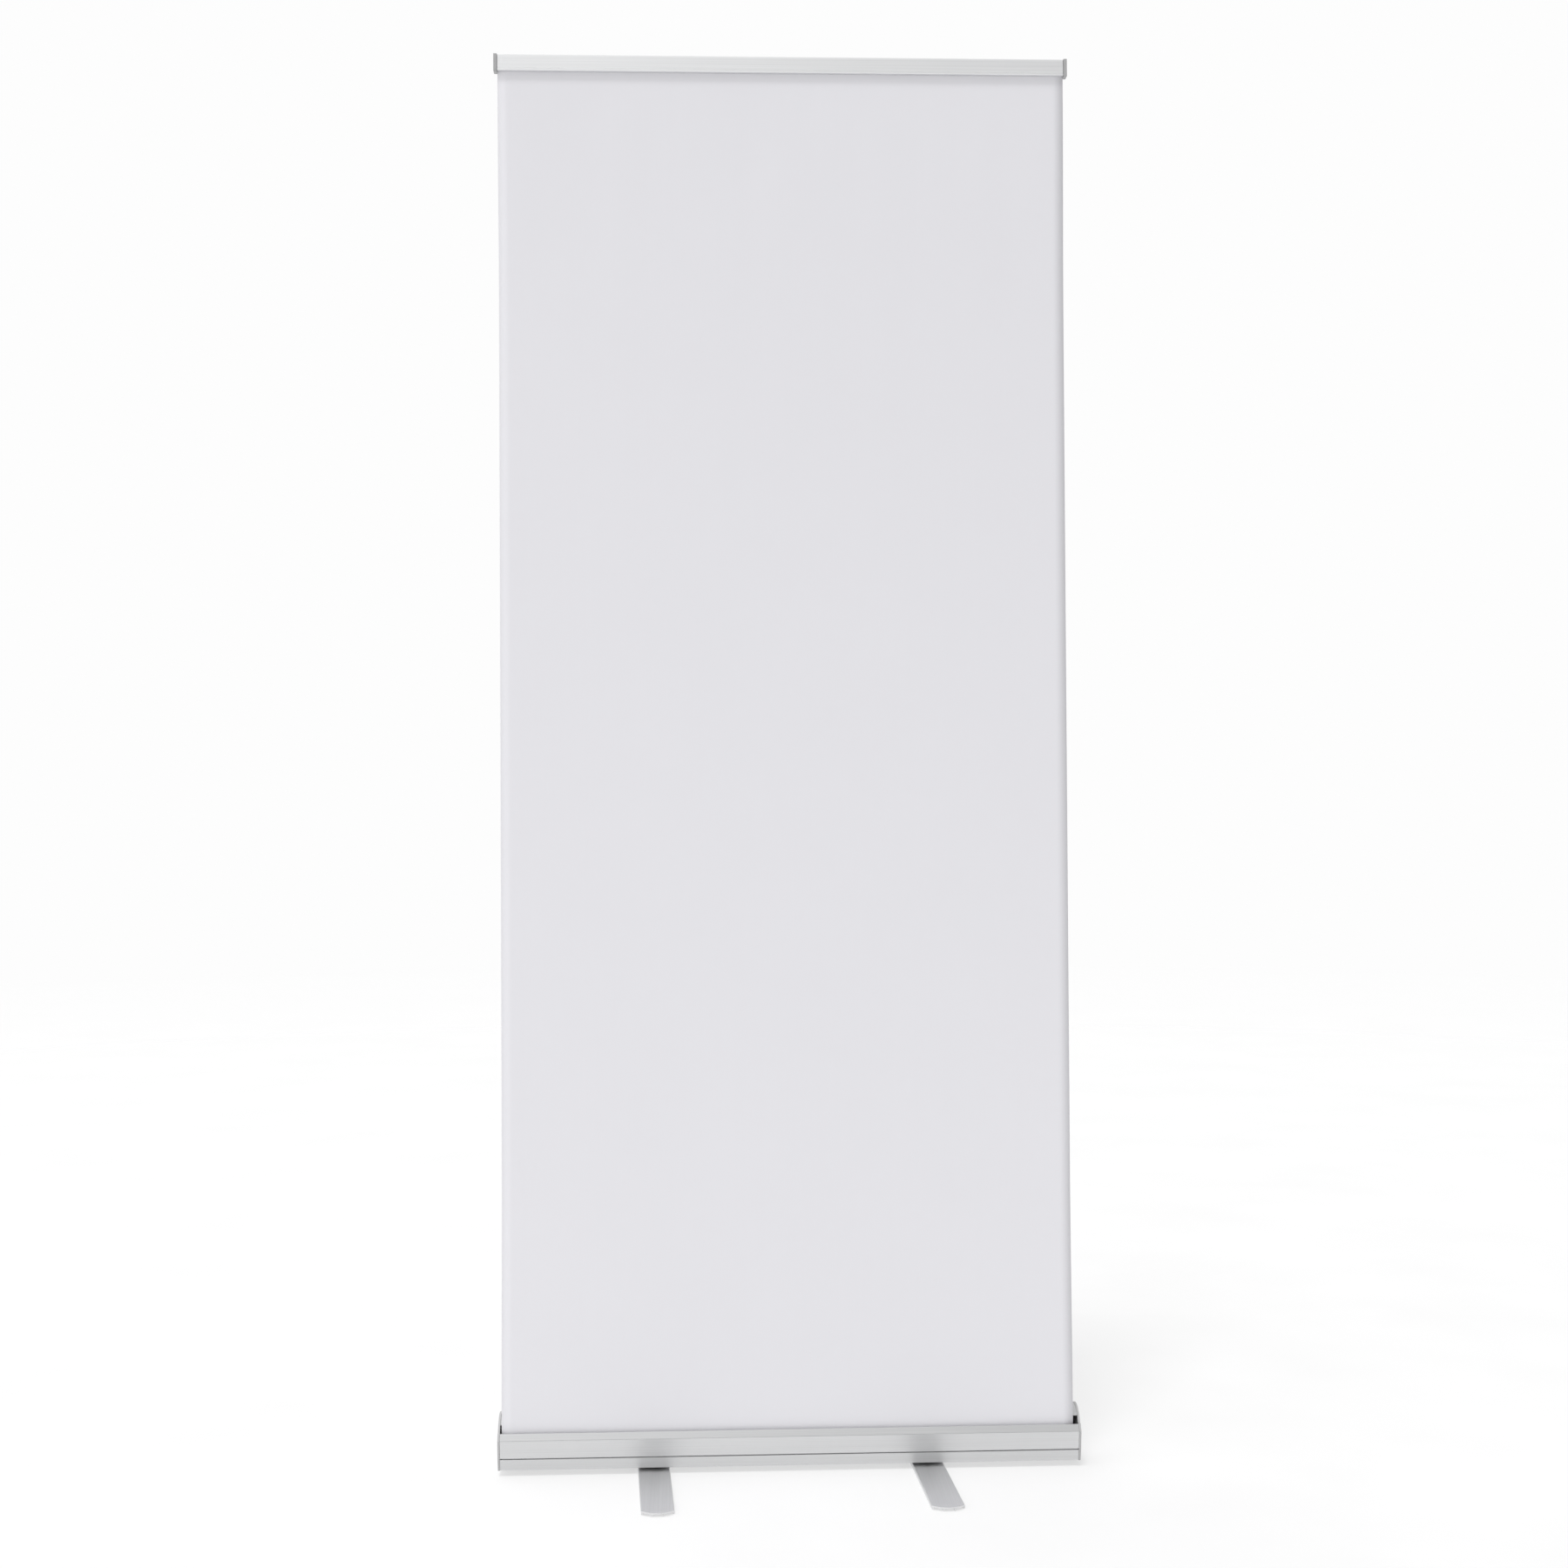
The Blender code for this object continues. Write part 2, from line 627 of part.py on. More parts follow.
# ---------------------------------------------------------------- clamp rail and banner
def back_jaw_outline():
    """Rear jaw: clamping plate with the hinge bead on top and the hook groove behind."""
    plate_front = JAW_CLEAR
    plate_back = JAW_CLEAR + PLATE_WALL
    half = PLATE_WALL / 2
    spread = math.degrees(math.asin(half / BEAD_RADIUS))
    bead = arc((plate_front + half, KNUCKLE_Z), BEAD_RADIUS, 270 - spread, -90 + spread, 14)
    lip = RAIL_BACK - GROOVE_WALL
    return [
        (plate_front, 0.0),
        *bead,
        (plate_back, GROOVE_HIGH),
        (RAIL_BACK, GROOVE_HIGH),
        (RAIL_BACK, MOUTH_HIGH),
        (lip, MOUTH_HIGH),
        (lip, GROOVE_HIGH - GROOVE_WALL),
        (plate_back, GROOVE_HIGH - GROOVE_WALL),
        (plate_back, GROOVE_LOW + GROOVE_WALL),
        (lip, GROOVE_LOW + GROOVE_WALL),
        (lip, MOUTH_LOW),
        (RAIL_BACK, MOUTH_LOW),
        (RAIL_BACK, GROOVE_LOW),
        (plate_back, GROOVE_LOW),
        (plate_back, 0.0),
    ]


def front_jaw_outline():
    """Front jaw about its knuckle: face, clamping edge, and the socket that wraps the bead."""
    mid = JAW_CLEAR + PLATE_WALL / 2
    knuckle = (mid, KNUCKLE_Z)
    face = -RAIL_FRONT
    back = face + JAW_WALL
    edge = JAW_LOW + JAW_EDGE
    band = JAW_LOW + BAND_HEIGHT
    points = [
        (mid, RAIL_HEIGHT),
        *arc((face + 0.003, RAIL_HEIGHT - 0.003), 0.003, 90, 180, 5),
        (face, band + BAND_GROOVE),
        (face + BAND_DEPTH, band + BAND_GROOVE - 0.0003),
        (face + BAND_DEPTH, band + 0.0003),
        (face, band),
        *arc((face + 0.0012, JAW_LOW + 0.0012), 0.0012, 180, 270, 3),
        (-JAW_CLEAR, JAW_LOW),
        (-JAW_CLEAR, edge),
        (back + 0.0008, edge),
        (back, edge + 0.0008),
        (back, KNUCKLE_Z + 0.0005),
        (back + 0.0012, KNUCKLE_Z + 0.0018),
        *arc(knuckle, KNUCKLE_OUTER, 158, 215, 5),
        *arc(knuckle, KNUCKLE_INNER, 215, -20, 18),
        *arc(knuckle, KNUCKLE_OUTER, -20, 80, 9),
    ]
    return [(across - mid, up - KNUCKLE_Z) for across, up in points]


def build_rail():
    """Clamp rail and banner, carried on the line they travel along."""
    carrier = pivot("rail_line", (BANNER_OFFSET, CASSETTE_Y + RAIL_Y, RAIL_LOW), -LEAN)
    centre = (0.0, 0.0, 0.0)
    half = BANNER_WIDTH / 2
    back = section("rail_back_jaw", softened(back_jaw_outline(), 0.0003), -half, half)
    place("rail_back_jaw", back, "aluminium", centre, carrier)
    knuckle = (0.0, JAW_CLEAR + PLATE_WALL / 2, KNUCKLE_Z)
    front = section("rail_front_jaw", front_jaw_outline(), -half + GAP, half - GAP)
    place("rail_front_jaw", front, "aluminium", knuckle, carrier)
    rim = RAIL_CAP_RIM
    outline = [
        (-RAIL_FRONT - rim, -rim),
        (RAIL_BACK + rim, -rim),
        (RAIL_BACK + rim, GROOVE_HIGH + rim),
        (JAW_CLEAR + PLATE_WALL / 2 + KNUCKLE_OUTER + rim, RAIL_HEIGHT - 0.002),
        (JAW_CLEAR + PLATE_WALL / 2 + KNUCKLE_OUTER / 2, RAIL_HEIGHT + rim),
        (-RAIL_FRONT - rim, RAIL_HEIGHT + rim),
    ]
    wall = GROOVE_WALL + GAP
    tongue = [
        (JAW_CLEAR + PLATE_WALL + GAP, GROOVE_LOW + wall),
        (RAIL_BACK - wall, GROOVE_LOW + wall),
        (RAIL_BACK - wall, GROOVE_HIGH - wall),
        (JAW_CLEAR + PLATE_WALL + GAP, GROOVE_HIGH - wall),
    ]
    for side, name in ((-1, "left"), (1, "right")):
        start = half + GAP
        reach = sorted((side * start, side * (start + RAIL_CAP)))
        cap_mesh = section("rail_cap_" + name, softened(outline, 0.0020, 4), *reach)
        cap = place("rail_cap_" + name, cap_mesh, "grey_plastic", centre, carrier)
        reach = sorted((side * (start + RAIL_CAP / 2), side * (half - TONGUE_LENGTH)))
        tongue_mesh = section("tongue_" + name, softened(tongue, 0.0006), *reach)
        combine(cap, cutter("tongue_" + name, tongue_mesh, centre, carrier), "UNION")
    depth = (RAIL_LOW - ROLLER_Z) / math.cos(LEAN)
    sheet = [
        (-BANNER_THICKNESS / 2, -depth),
        (BANNER_THICKNESS / 2, -depth),
        (BANNER_THICKNESS / 2, BANNER_IN_RAIL),
        (-BANNER_THICKNESS / 2, BANNER_IN_RAIL),
    ]
    banner = section("banner", sheet, -half + GAP, half - GAP)
    place("banner", banner, "white_film", centre, carrier)


# ---------------------------------------------------------------- pole
def build_pole():
    """Socket in the cassette, and the pole of three tubes with its plug, ferrules, cord and head."""
    home = (0.0, CASSETTE_Y + POLE_Y, 0.0)
    carrier = pivot("pole_line", home)
    centre = (0.0, 0.0, 0.0)
    low = SHELL_FLOOR + GAP
    socket = [
        (0.0, low),
        (SOCKET_OUTER - SOCKET_CHAMFER, low),
        (SOCKET_OUTER, low + SOCKET_CHAMFER),
        (SOCKET_OUTER, SOCKET_TOP - 0.001),
        (SOCKET_OUTER - 0.001, SOCKET_TOP),
        (SOCKET_BORE, SOCKET_TOP),
        (SOCKET_BORE, low + SOCKET_FLOOR),
        (0.0, low + SOCKET_FLOOR),
    ]
    place("pole_socket", lathe("pole_socket", socket), "black_plastic", home)
    foot = low + SOCKET_FLOOR + GAP
    tube_low = foot + 0.0035
    head_low = RAIL_LOW + (MOUTH_LOW + MOUTH_HIGH) / 2 - HEAD_HEIGHT / 2
    tube_high = head_low - GAP
    length = (tube_high - tube_low - 2 * GAP) / 3
    plug = [
        (0.0, foot),
        (POLE_RADIUS - 0.0008, foot),
        (POLE_RADIUS, foot + 0.0008),
        (POLE_RADIUS, tube_low - GAP),
        (STEM_RADIUS, tube_low - GAP),
        (STEM_RADIUS, tube_low + STEM_LENGTH),
        (0.0, tube_low + STEM_LENGTH),
    ]
    place("pole_foot_plug", lathe("pole_foot_plug", plug, steps=24), "black_plastic", centre, carrier)
    starts = [tube_low + index * (length + GAP) for index in range(3)]
    for start, name in zip(starts, ("pole_lower", "pole_middle", "pole_upper")):
        tube = lathe(name, tube_outline(POLE_RADIUS, POLE_BORE, start, start + length), steps=24)
        place(name, tube, "aluminium", centre, carrier)
    for start, name in zip(starts[1:], ("pole_ferrule_lower", "pole_ferrule_upper")):
        reach = (start - FERRULE_LENGTH / 2, start + FERRULE_LENGTH / 2)
        ferrule = tube_outline(STEM_RADIUS, STEM_RADIUS - FERRULE_WALL, *reach)
        place(name, lathe(name, ferrule, steps=24), "steel", centre, carrier)
    cord_reach = (tube_low + STEM_LENGTH + GAP, head_low - STEM_LENGTH - GAP)
    cord = lathe("pole_cord", rod_outline(CORD_RADIUS, *cord_reach), steps=12)
    place("pole_cord", cord, "black_cord", centre, carrier)
    build_head(carrier, head_low)


def build_head(carrier, low):
    """Pole head: stem in the tube, round body, and a hooked finger that reaches into the rail's groove."""
    body = [
        (0.0, low - STEM_LENGTH),
        (STEM_RADIUS, low - STEM_LENGTH),
        (STEM_RADIUS, low),
        (HEAD_RADIUS, low),
        (HEAD_RADIUS, low + HEAD_HEIGHT - 0.002),
        (HEAD_RADIUS - 0.002, low + HEAD_HEIGHT),
        (0.0, low + HEAD_HEIGHT),
    ]
    head = place("pole_head", lathe("pole_head", body), "grey_plastic", (0.0, 0.0, 0.0), carrier)
    rail = RAIL_Y - POLE_Y
    top = RAIL_LOW + MOUTH_HIGH - 2 * GAP
    tip = rail + JAW_CLEAR + PLATE_WALL + 3 * GAP
    finger = [
        (0.0, top - FINGER_HEIGHT),
        (0.0, top),
        (tip + NIB_DEPTH, top),
        (tip + NIB_DEPTH, top + NIB_HEIGHT),
        (tip, top + NIB_HEIGHT),
        (tip, top - FINGER_HEIGHT),
    ]
    mesh = section("finger", softened(finger, 0.0004), -FINGER_WIDTH / 2, FINGER_WIDTH / 2)
    combine(head, cutter("finger", mesh, (0.0, 0.0, 0.0), carrier), "UNION")


# ---------------------------------------------------------------- feet
def foot_outline():
    """Section of a foot: top plate on two side walls and two ribs that stand on the floor."""
    half = FOOT_WIDTH / 2
    under = FOOT_HEIGHT - FOOT_PLATE
    inner = half - FOOT_SIDE
    rib_out = FOOT_RIB_X + FOOT_RIB / 2
    rib_in = FOOT_RIB_X - FOOT_RIB / 2
    right = [
        (half, 0.0),
        (half, FOOT_HEIGHT - 0.0010),
        (half - 0.0010, FOOT_HEIGHT),
    ]
    left = [(-across, up) for across, up in reversed(right)]
    return [
        *right,
        *left,
        (-inner, 0.0),
        (-inner, under),
        (-rib_out, under),
        (-rib_out, 0.0),
        (-rib_in, 0.0),
        (-rib_in, under),
        (rib_in, under),
        (rib_in, 0.0),
        (rib_out, 0.0),
        (rib_out, under),
        (inner, under),
        (inner, 0.0),
    ]


def build_foot(side, name):
    """One swivel foot on its bolt, with the friction washer above it and the nut in the cassette."""
    spot = (side * FOOT_X, CASSETTE_Y + FOOT_Y, 0.0)
    reach = FOOT_WIDTH / 2
    bar = section("foot_" + name, foot_outline(), -FOOT_FRONT - 0.002, FOOT_REAR + 0.002, along="Y")
    foot = place("foot_" + name, bar, "aluminium", spot, turn=FOOT_TURN)
    half_angle = math.degrees(math.asin((reach + 0.0001) / FOOT_END_RADIUS))
    front = (0.0, -FOOT_FRONT + FOOT_END_RADIUS)
    rear = (0.0, FOOT_REAR - FOOT_END_RADIUS)
    plan = arc(front, FOOT_END_RADIUS, 270 - half_angle, 270 + half_angle, 14)
    plan += arc(rear, FOOT_END_RADIUS, 90 - half_angle, 90 + half_angle, 14)
    trim = section("foot_plan_" + name, plan, -0.002, FOOT_HEIGHT + 0.002, along="Z")
    combine(foot, cutter("foot_plan_" + name, trim, spot, turn=FOOT_TURN), "INTERSECT")
    drill = lathe("foot_drill_" + name, rod_outline(SHANK_CLEAR, -0.002, FOOT_HEIGHT + 0.002), steps=24)
    combine(foot, cutter("foot_drill_" + name, drill, spot), "DIFFERENCE")
    head_top = FOOT_HEIGHT - FOOT_PLATE - GAP
    nut_low = SHELL_FLOOR + GAP
    bolt = [
        (0.0, head_top - BOLT_HEAD_HEIGHT),
        (BOLT_HEAD * 0.7, head_top - BOLT_HEAD_HEIGHT),
        (BOLT_HEAD, head_top - BOLT_HEAD_HEIGHT * 0.5),
        (BOLT_HEAD, head_top),
        (BOLT_RADIUS, head_top),
        (BOLT_RADIUS, nut_low + NUT_HEIGHT + 0.0008),
        (BOLT_RADIUS - 0.0005, nut_low + NUT_HEIGHT + 0.0013),
        (0.0, nut_low + NUT_HEIGHT + 0.0013),
    ]
    place("foot_bolt_" + name, lathe("foot_bolt_" + name, bolt, steps=24), "steel", spot)
    washer = tube_outline(WASHER_RADIUS, SHANK_CLEAR, FOOT_HEIGHT + GAP, FLOOR_GAP - GAP)
    place("foot_washer_" + name, lathe("foot_washer_" + name, washer), "black_plastic", spot)
    nut = section(
        "foot_nut_" + name, circle((0.0, 0.0), NUT_RADIUS, 6), nut_low, nut_low + NUT_HEIGHT,
        along="Z", holes=[circle((0.0, 0.0), SHANK_CLEAR, 24)],
    )
    place("foot_nut_" + name, nut, "steel", spot)


clear_scene()
STAND = new_collection("rollup_banner_stand")
CUTTERS = new_collection("cutters")
build_cassette()
build_roller()
build_rail()
build_pole()
for foot_side, foot_name in ((-1, "left"), (1, "right")):
    build_foot(foot_side, foot_name)
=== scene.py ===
import math

import bmesh
import bpy
import numpy as np
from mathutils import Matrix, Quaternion, Vector


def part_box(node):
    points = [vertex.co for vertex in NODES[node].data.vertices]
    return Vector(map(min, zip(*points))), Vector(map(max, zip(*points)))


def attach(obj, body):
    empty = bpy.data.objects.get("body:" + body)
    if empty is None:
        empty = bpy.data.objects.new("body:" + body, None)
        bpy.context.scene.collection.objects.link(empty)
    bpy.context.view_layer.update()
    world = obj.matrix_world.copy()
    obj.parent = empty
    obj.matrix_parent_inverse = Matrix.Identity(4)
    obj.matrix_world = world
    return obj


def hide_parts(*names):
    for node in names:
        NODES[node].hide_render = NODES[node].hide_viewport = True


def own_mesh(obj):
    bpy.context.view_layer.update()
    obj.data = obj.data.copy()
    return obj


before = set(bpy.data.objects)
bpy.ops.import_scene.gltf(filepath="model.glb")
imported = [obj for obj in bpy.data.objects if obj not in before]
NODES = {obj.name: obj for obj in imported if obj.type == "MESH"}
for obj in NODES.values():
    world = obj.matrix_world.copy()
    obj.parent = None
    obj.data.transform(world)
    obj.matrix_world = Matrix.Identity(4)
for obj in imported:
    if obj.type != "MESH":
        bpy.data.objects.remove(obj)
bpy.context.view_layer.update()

# The film: its thickness, its grid, how far it curls off its plane and how far its sides draw in.
FILM = 0.0005
FILM_COLUMNS = 56
FILM_ROWS = 170
CURL_BACK = 0.0024
CURL_FORWARD = 0.0010
DRAWN_IN = 0.0011

# Where the cassette lets the film go, where the clamp takes it, and over what lengths its shape fades in
# and out.
SLOT_RISE = 0.05
CLAMP_DROP = 0.03
FREE_OVER = 0.35
WAVES_START = 0.10
GRIP_FADE = 0.30
PULL_FADE = 0.22
END_BAND = 0.002

# Small waves across the film as (height, radians per metre, shift): below the clamp, and above the slot.
GRIP_WAVES = ((0.00022, 47.0, 0.7), (0.00014, 81.0, 2.1))
PULL_WAVES = ((0.00012, 39.0, 1.9),)

# The turns left on the roller: how many, the strip's thickness, their depth in all and the steps in a turn.
ROLL_TURNS = 2.0
ROLL_STRIP = 0.0003
ROLL_DEPTH = 0.00105
ROLL_STEPS = 72

# CAD pieces: the weld's reach, what counts as flat and as sharp in degrees, and the widths of broken edges.
WELD_REACH = 1e-6
FLAT_ANGLE = 0.5
SHARP_ANGLE = 32.0
SHELL_EDGE = 0.00020
RAIL_EDGE = 0.00022
FOOT_EDGE = 0.00025
CAP_EDGE = 0.00030
HEAD_EDGE = 0.00035

# The floor: its radius, its gap below the feet, its own glow and where it fades out.
FLOOR_RADIUS = 14.0
FLOOR_DROP = 0.0002
FLOOR_ROUGHNESS = 0.9
FLOOR_GLOW = 0.54
FLOOR_FADE_START = 2.5
FLOOR_FADE_STOP = 9.0

# The surround: its strength at the horizon and overhead, how much it differs between left and right, how far
# to the side that is reached, and the backdrop's own grey.
WORLD_LOW = 0.97
WORLD_HIGH = 1.22
WORLD_FALLOFF = 0.46
WORLD_TURN = 0.35
BACKDROP = 0.983

# The camera, upright and level but for a small roll in radians.
SENSOR_WIDTH = 36.0
LENS = 49.46
CAMERA_PLACE = (-0.1433, -3.2092, 1.0201)
CAMERA_AIM = (0.0431, 0.9991, 0.0)
CAMERA_ROLL = -0.0047


# ---------------------------------------------------------------- procedural finishes
class Finish:
    """A material built node by node round one Principled shader."""

    def __init__(self, name, **sockets):
        self.material = bpy.data.materials.new(name)
        self.material.use_nodes = True
        self.nodes = self.material.node_tree.nodes
        self.links = self.material.node_tree.links
        self.shader = self.nodes["Principled BSDF"]
        self.place = self.add("ShaderNodeTexCoord").outputs["Object"]
        self.set(self.shader, sockets)

    def feed(self, socket, value):
        """Give a socket a value, or a link where the value is another node's socket."""
        if isinstance(value, bpy.types.NodeSocket):
            self.links.new(value, socket)
        else:
            socket.default_value = value

    def set(self, node, sockets):
        """Feed a node's sockets by name, with _ for a space."""
        for name, value in sockets.items():
            self.feed(node.inputs[name if name in node.inputs else name.replace("_", " ")], value)

    def add(self, kind, settings=None, **sockets):
        """Add a node with its settings and sockets."""
        node = self.nodes.new(kind)
        for name, value in (settings or {}).items():
            setattr(node, name, value)
        self.set(node, sockets)
        return node

    def noise(self, scale, detail=3.0, stretch=(1.0, 1.0, 1.0), place=None):
        """Noise of a given fineness, stretched along the axes whose factor is small."""
        mapping = self.add("ShaderNodeMapping", Vector=place or self.place, Scale=stretch)
        texture = self.add("ShaderNodeTexNoise", Vector=mapping.outputs[0], Scale=scale, Detail=detail)
        return texture.outputs[0]

    def remap(self, value, low, high, start=0.3, stop=0.7):
        """Spread a value from start to stop, by default its middle, over low to high."""
        node = self.add("ShaderNodeMapRange", Value=value)
        self.set(node, {"From Min": start, "From Max": stop, "To Min": low, "To Max": high})
        return node.outputs[0]

    def maths(self, operation, first, second):
        """One sum or product of two values."""
        node = self.add("ShaderNodeMath", {"operation": operation})
        self.feed(node.inputs[0], first)
        self.feed(node.inputs[1], second)
        return node.outputs[0]

    def mix(self, factor, first, second):
        """Mix two colours."""
        node = self.add("ShaderNodeMix", {"data_type": "RGBA", "clamp_factor": True})
        for index, value in ((0, factor), (6, first), (7, second)):
            self.feed(node.inputs[index], value)
        return node.outputs[2]

    def painted_edge_highlight(self, radius, strength):
        """How near a surface point is to a sharp edge, from 0 to strength: the mask of a painted highlight
        along edges.
        """
        rounded = self.add("ShaderNodeBevel", {"samples": 4}, Radius=radius).outputs[0]
        flat = self.add("ShaderNodeNewGeometry").outputs["Normal"]
        node = self.add("ShaderNodeVectorMath", {"operation": "DOT_PRODUCT"})
        self.feed(node.inputs[0], rounded)
        self.feed(node.inputs[1], flat)
        return self.remap(node.outputs["Value"], strength, 0.0, start=0.86, stop=0.995)

    def bump(self, *layers):
        """Stack height layers of (value, distance in metres, strength) into the shader's normal."""
        normal = None
        for value, distance, strength in layers:
            node = self.add("ShaderNodeBump", Height=value, Distance=distance, Strength=strength)
            if normal is not None:
                self.feed(node.inputs["Normal"], normal)
            normal = node.outputs[0]
        self.feed(self.shader.inputs["Normal"], normal)

    def wear(self, colour, roughness):
        """Put the colour and the roughness on the shader."""
        self.set(self.shader, {"Base Color": colour, "Roughness": roughness})
        return self.material


def grey(value, tint=(1.0, 1.0, 1.0)):
    """A colour of one brightness and a faint tint."""
    return (value * tint[0], value * tint[1], value * tint[2], 1.0)


def dimmed(colour, share):
    """A colour at a share of its brightness."""
    return tuple(channel * share for channel in colour[:3]) + (1.0,)


def anodised(name, value, stretch, roughness=0.40, painted_highlight_gain=1.22):
    """Satin anodised extrusion: die lines along its length, a fine etched grain and a painted highlight on
    sharp edges.
    """
    tint = (0.995, 1.0, 1.008)
    finish = Finish(name, Metallic=0.92, Anisotropic=0.25)
    lines = finish.noise(1.0, 4.0, stretch)
    broad = finish.noise(1.0, 2.0, tuple(0.12 * s for s in stretch))
    cloud = finish.noise(5.0, 2.0)
    etch = finish.noise(2600.0, 2.0)
    shade = finish.mix(finish.remap(lines, 0.0, 1.0), grey(value * 0.955, tint), grey(value * 1.035, tint))
    shade = finish.mix(finish.remap(cloud, 0.0, 0.35), shade, grey(value * 0.93, tint))
    # Painted highlight: sharp edges are lightened in the colour, in place of light caught on rounded edges.
    shade = finish.mix(finish.painted_edge_highlight(0.0006, 0.45), shade, grey(min(0.95, value * painted_highlight_gain), tint))
    bands = finish.remap(broad, roughness - 0.05, roughness + 0.05)
    rough = finish.maths("ADD", bands, finish.remap(etch, -0.03, 0.03))
    finish.bump((lines, 0.00006, 0.35), (etch, 0.00003, 0.25))
    return finish.wear(shade, rough)


def moulded(name, value, tint=(1.0, 1.0, 1.0), roughness=0.52, grain=1500.0):
    """Moulded plastic: a spark-eroded grain, faint flow marks and a painted highlight on the edges."""
    finish = Finish(name, Metallic=0.0, IOR=1.5)
    pits = finish.noise(grain, 3.0)
    flow = finish.noise(22.0, 3.0, (1.0, 1.0, 0.35))
    shade = finish.mix(finish.remap(flow, 0.0, 1.0), grey(value * 0.92, tint), grey(value * 1.06, tint))
    shade = finish.mix(finish.remap(pits, 0.0, 0.4), shade, grey(value * 0.84, tint))
    # Painted highlight: edges are lightened in the colour, in place of light caught on rounded edges.
    shade = finish.mix(finish.painted_edge_highlight(0.0006, 0.5), shade, grey(min(0.9, value * 1.35 + 0.02), tint))
    finish.bump((pits, 0.00010, 0.45))
    return finish.wear(shade, finish.remap(pits, roughness - 0.09, roughness + 0.07))


def plated(name, value, tint, roughness=0.26):
    """Zinc-plated or spring steel: fine turning marks, dull patches and a painted highlight on the edges."""
    finish = Finish(name, Metallic=1.0)
    turned = finish.noise(1.0, 3.0, (1800.0, 260.0, 260.0))
    dull = finish.noise(160.0, 4.0)
    shade = finish.mix(finish.remap(dull, 0.0, 1.0), grey(value * 0.88, tint), grey(value * 1.06, tint))
    # Painted highlight: edges are lightened in the colour, in place of light caught on rounded edges.
    shade = finish.mix(finish.painted_edge_highlight(0.0003, 0.5), shade, grey(min(0.95, value * 1.3)))
    finish.bump((turned, 0.00003, 0.4), (dull, 0.00002, 0.3))
    return finish.wear(shade, finish.remap(dull, roughness - 0.07, roughness + 0.12))


def printed_film(name, front):
    """Matt coated film: a fine cross weave under the coating, soft mottling and faint streaks."""
    finish = Finish(name, Metallic=0.0, Sheen_Weight=0.12, Sheen_Roughness=0.55, Specular_IOR_Level=0.38)
    flat = finish.add("ShaderNodeUVMap", {"uv_map": "sheet"}).outputs[0]
    warp = finish.add("ShaderNodeTexWave", {"bands_direction": "X"}, Vector=flat, Scale=520.0, Distortion=0.6)
    weft = finish.add("ShaderNodeTexWave", {"bands_direction": "Y"}, Vector=flat, Scale=520.0, Distortion=0.6)
    weave = finish.maths("MULTIPLY", warp.outputs["Fac"], weft.outputs["Fac"])
    mottle = finish.noise(7.0, 3.0, place=flat)
    tooth = finish.noise(2400.0, 2.0, place=flat)
    streak = finish.noise(1.0, 2.0, (160.0, 1.2, 1.0), place=flat)
    shade = finish.mix(finish.remap(mottle, 0.0, 0.5), front, dimmed(front, 0.985))
    shade = finish.mix(finish.remap(weave, 0.0, 0.25, 0.0, 1.0), shade, dimmed(front, 0.975))
    shade = finish.mix(finish.remap(streak, 0.0, 0.25), shade, dimmed(front, 0.985))
    finish.bump((weave, 0.00005, 0.18), (tooth, 0.00003, 0.18))
    return finish.wear(shade, finish.remap(tooth, 0.50, 0.62))


def braided(name):
    """Elastic cord in a woven black cover."""
    finish = Finish(name, Metallic=0.0, Sheen_Weight=0.35, Sheen_Roughness=0.4)
    right = finish.add("ShaderNodeTexWave", {"bands_direction": "DIAGONAL"}, Vector=finish.place, Scale=260.0)
    turned = finish.add("ShaderNodeMapping", Vector=finish.place, Scale=(1.0, 1.0, -1.0))
    turned = turned.outputs[0]
    left = finish.add("ShaderNodeTexWave", {"bands_direction": "DIAGONAL"}, Vector=turned, Scale=260.0)
    braid = finish.maths("MULTIPLY", right.outputs["Fac"], left.outputs["Fac"])
    shade = finish.mix(braid, grey(0.012), grey(0.05))
    finish.bump((braid, 0.0002, 0.6))
    return finish.wear(shade, finish.remap(braid, 0.95, 0.75, 0.0, 1.0))


# Die lines run along the axis whose factor is small.
ALONG_X = (3.0, 900.0, 900.0)
ALONG_Y = (900.0, 3.0, 900.0)
ALONG_Z = (900.0, 900.0, 3.0)

CASSETTE_METAL = anodised("cassette_anodised", 0.67, ALONG_X)
COVER_METAL = anodised("front_cover_anodised", 0.69, ALONG_X, 0.38)
RAIL_METAL = anodised("rail_anodised", 0.88, ALONG_X, 0.40, 1.05)
ROLLER_METAL = anodised("roller_mill_finish", 0.55, ALONG_X, 0.34)
FOOT_METAL = anodised("foot_anodised", 0.76, ALONG_Y, 0.42)
POLE_METAL = anodised("pole_anodised", 0.64, ALONG_Z, 0.32)
CAP_PLASTIC = moulded("end_cap_moulded", 0.46, (1.0, 1.0, 1.01))
RAIL_CAP_PLASTIC = moulded("rail_cap_moulded", 0.40, (1.0, 1.0, 1.01))
BLACK_PLASTIC = moulded("black_moulded", 0.028, roughness=0.48)
SPRING_STEEL = plated("spring_steel", 0.42, (1.0, 0.98, 0.95))
ZINC = plated("zinc_plated", 0.60, (1.0, 1.0, 1.03))
FILM_WHITE = printed_film("banner_film", grey(0.738, (0.985, 0.978, 1.02)))
FILM_BACK = printed_film("banner_film_back", grey(0.60, (1.0, 1.0, 1.01)))
BRAID = braided("elastic_braid")


